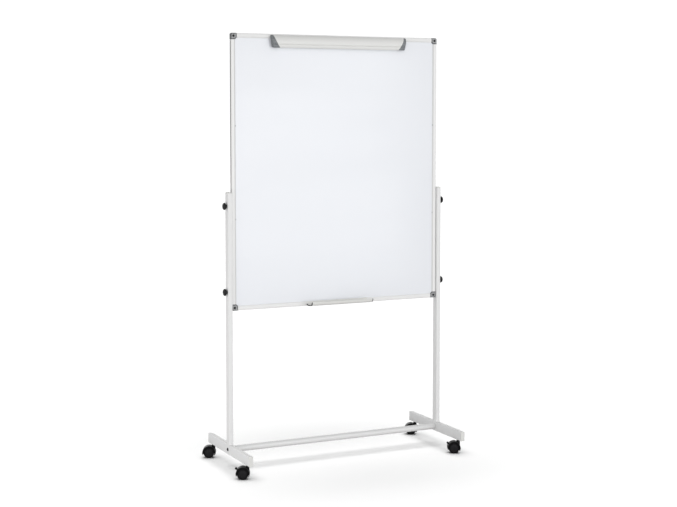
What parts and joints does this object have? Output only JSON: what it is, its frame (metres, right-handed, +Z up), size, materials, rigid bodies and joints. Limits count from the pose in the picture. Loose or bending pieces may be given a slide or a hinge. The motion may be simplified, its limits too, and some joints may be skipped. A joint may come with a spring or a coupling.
{
  "type": "rolling whiteboard",
  "caption": "Framed whiteboard with a paper clamp bar and pen tray, sliding between two posts on a castor stand.",
  "frame": {"origin": "on the floor, under the middle of the box that the whole object fills; the stand's own middle is 13 mm to +X of it, because all four castors trail to -X", "axes": "+Z up; -Y is the way the writing surface faces, so +X is to the right of a person looking at it"},
  "size_m": [1.1164, 0.488, 1.8934],
  "materials": {
    "white_paint": "white powder coat, smooth",
    "frame_white": "white lacquered aluminium extrusion, satin",
    "enamel": "white enamelled steel, smooth and slightly glossy",
    "core": "honeycomb paper board",
    "back_metal": "plain sheet",
    "grey_plastic": "moulded, fine texture",
    "white_plastic": "moulded, satin",
    "black_plastic": "moulded, satin",
    "black_wheel": "moulded wheel with a soft rolling surface",
    "zinc": "zinc plated",
    "dark_screw": "blackened"
  },
  "bodies": {
    "stand": {"left_foot": "white_paint", "left_foot_front_cap": "white_plastic", "left_foot_back_cap": "white_plastic", "left_post": "white_paint", "left_post_cap": "white_plastic", "left_crossbar_bolt": "zinc", "left_lower_sliding_nut": "zinc", "left_upper_sliding_nut": "zinc", "right_foot": "white_paint", "right_foot_front_cap": "white_plastic", "right_foot_back_cap": "white_plastic", "right_post": "white_paint", "right_post_cap": "white_plastic", "right_crossbar_bolt": "zinc", "right_lower_sliding_nut": "zinc", "right_upper_sliding_nut": "zinc", "crossbar": "white_paint", "front_left_castor_stem": "zinc", "back_left_castor_stem": "zinc", "front_right_castor_stem": "zinc", "back_right_castor_stem": "zinc"},
    "board": {"left_rail": "frame_white", "right_rail": "frame_white", "top_rail": "frame_white", "bottom_rail": "frame_white", "top_left_corner": "grey_plastic", "top_left_corner_screw": "dark_screw", "top_right_corner": "grey_plastic", "top_right_corner_screw": "dark_screw", "bottom_left_corner": "grey_plastic", "bottom_left_corner_screw": "dark_screw", "bottom_right_corner": "grey_plastic", "bottom_right_corner_screw": "dark_screw", "writing_sheet": "enamel", "core_panel": "core", "back_sheet": "back_metal", "clamp_hinge_rail": "frame_white", "clamp_hinge_rod": "zinc"},
    "clamp": {"clamp_bar": "frame_white", "clamp_left_end_cap": "grey_plastic", "clamp_right_end_cap": "grey_plastic"},
    "tray": {"pen_tray": "white_plastic"},
    "front_left_castor": {"front_left_castor_hood": "black_plastic"},
    "front_left_near_wheel": {"front_left_castor_near_wheel": "black_wheel"},
    "front_left_far_wheel": {"front_left_castor_far_wheel": "black_wheel"},
    "front_left_brake": {"front_left_castor_brake": "black_plastic"},
    "back_left_castor": {"back_left_castor_hood": "black_plastic"},
    "back_left_near_wheel": {"back_left_castor_near_wheel": "black_wheel"},
    "back_left_far_wheel": {"back_left_castor_far_wheel": "black_wheel"},
    "front_right_castor": {"front_right_castor_hood": "black_plastic"},
    "front_right_near_wheel": {"front_right_castor_near_wheel": "black_wheel"},
    "front_right_far_wheel": {"front_right_castor_far_wheel": "black_wheel"},
    "front_right_brake": {"front_right_castor_brake": "black_plastic"},
    "back_right_castor": {"back_right_castor_hood": "black_plastic"},
    "back_right_near_wheel": {"back_right_castor_near_wheel": "black_wheel"},
    "back_right_far_wheel": {"back_right_castor_far_wheel": "black_wheel"},
    "left_lower_knob": {"left_lower_knob": "black_plastic"},
    "left_upper_knob": {"left_upper_knob": "black_plastic"},
    "right_lower_knob": {"right_lower_knob": "black_plastic"},
    "right_upper_knob": {"right_upper_knob": "black_plastic"}
  },
  "joints": [
    {"name": "board_height", "type": "slide", "parent": "stand", "child": "board", "axis": [0, 0, 1], "range_m": [-0.55, 0.035]},
    {"name": "clamp_open", "type": "hinge", "parent": "board", "child": "clamp", "pos_m": [0.0204, -0.0145, 1.8825], "axis": [-1, 0, 0], "range_deg": [0, 26], "stiffness_Nm_per_rad": 0.9, "springref_deg": -34.38},
    {"name": "tray_slide", "type": "slide", "parent": "board", "child": "tray", "axis": [1, 0, 0], "range_m": [-0.3, 0.3]},
    {"name": "front_left_swivel", "type": "hinge", "parent": "stand", "child": "front_left_castor", "pos_m": [-0.5051, -0.2035, 0.0615], "axis": [0, 0, 1], "continuous": true},
    {"name": "front_left_near_roll", "type": "hinge", "parent": "front_left_castor", "child": "front_left_near_wheel", "pos_m": [-0.52315, -0.19489, 0.025], "axis": [0.4305, 0.9026, 0], "continuous": true},
    {"name": "front_left_far_roll", "type": "hinge", "parent": "front_left_castor", "child": "front_left_far_wheel", "pos_m": [-0.52315, -0.19489, 0.025], "axis": [0.4305, 0.9026, 0], "continuous": true},
    {"name": "front_left_brake_press", "type": "hinge", "parent": "front_left_castor", "child": "front_left_brake", "pos_m": [-0.54117, -0.18629, 0.04004], "axis": [-0.4305, -0.9026, 0], "range_deg": [0, 14]},
    {"name": "back_left_swivel", "type": "hinge", "parent": "stand", "child": "back_left_castor", "pos_m": [-0.5051, 0.2035, 0.0615], "axis": [0, 0, 1], "continuous": true},
    {"name": "back_left_near_roll", "type": "hinge", "parent": "back_left_castor", "child": "back_left_near_wheel", "pos_m": [-0.52315, 0.21211, 0.025], "axis": [0.4305, 0.9026, 0], "continuous": true},
    {"name": "back_left_far_roll", "type": "hinge", "parent": "back_left_castor", "child": "back_left_far_wheel", "pos_m": [-0.52315, 0.21211, 0.025], "axis": [0.4305, 0.9026, 0], "continuous": true},
    {"name": "front_right_swivel", "type": "hinge", "parent": "stand", "child": "front_right_castor", "pos_m": [0.5319, -0.2035, 0.0615], "axis": [0, 0, 1], "continuous": true},
    {"name": "front_right_near_roll", "type": "hinge", "parent": "front_right_castor", "child": "front_right_near_wheel", "pos_m": [0.51385, -0.19489, 0.025], "axis": [0.4305, 0.9026, 0], "continuous": true},
    {"name": "front_right_far_roll", "type": "hinge", "parent": "front_right_castor", "child": "front_right_far_wheel", "pos_m": [0.51385, -0.19489, 0.025], "axis": [0.4305, 0.9026, 0], "continuous": true},
    {"name": "front_right_brake_press", "type": "hinge", "parent": "front_right_castor", "child": "front_right_brake", "pos_m": [0.49583, -0.18629, 0.04004], "axis": [-0.4305, -0.9026, 0], "range_deg": [0, 14]},
    {"name": "back_right_swivel", "type": "hinge", "parent": "stand", "child": "back_right_castor", "pos_m": [0.5319, 0.2035, 0.0615], "axis": [0, 0, 1], "continuous": true},
    {"name": "back_right_near_roll", "type": "hinge", "parent": "back_right_castor", "child": "back_right_near_wheel", "pos_m": [0.51385, 0.21211, 0.025], "axis": [0.4305, 0.9026, 0], "continuous": true},
    {"name": "back_right_far_roll", "type": "hinge", "parent": "back_right_castor", "child": "back_right_far_wheel", "pos_m": [0.51385, 0.21211, 0.025], "axis": [0.4305, 0.9026, 0], "continuous": true},
    {"name": "left_lower_knob_turn", "type": "hinge", "parent": "stand", "child": "left_lower_knob", "pos_m": [-0.5154, 0, 0.7745], "axis": [-1, 0, 0], "range_deg": [0, 720]},
    {"name": "left_upper_knob_turn", "type": "hinge", "parent": "stand", "child": "left_upper_knob", "pos_m": [-0.5154, 0, 1.148], "axis": [-1, 0, 0], "range_deg": [0, 720]},
    {"name": "right_lower_knob_turn", "type": "hinge", "parent": "stand", "child": "right_lower_knob", "pos_m": [0.5422, 0, 0.7745], "axis": [1, 0, 0], "range_deg": [0, 720]},
    {"name": "right_upper_knob_turn", "type": "hinge", "parent": "stand", "child": "right_upper_knob", "pos_m": [0.5422, 0, 1.148], "axis": [1, 0, 0], "range_deg": [0, 720]}
  ]
}
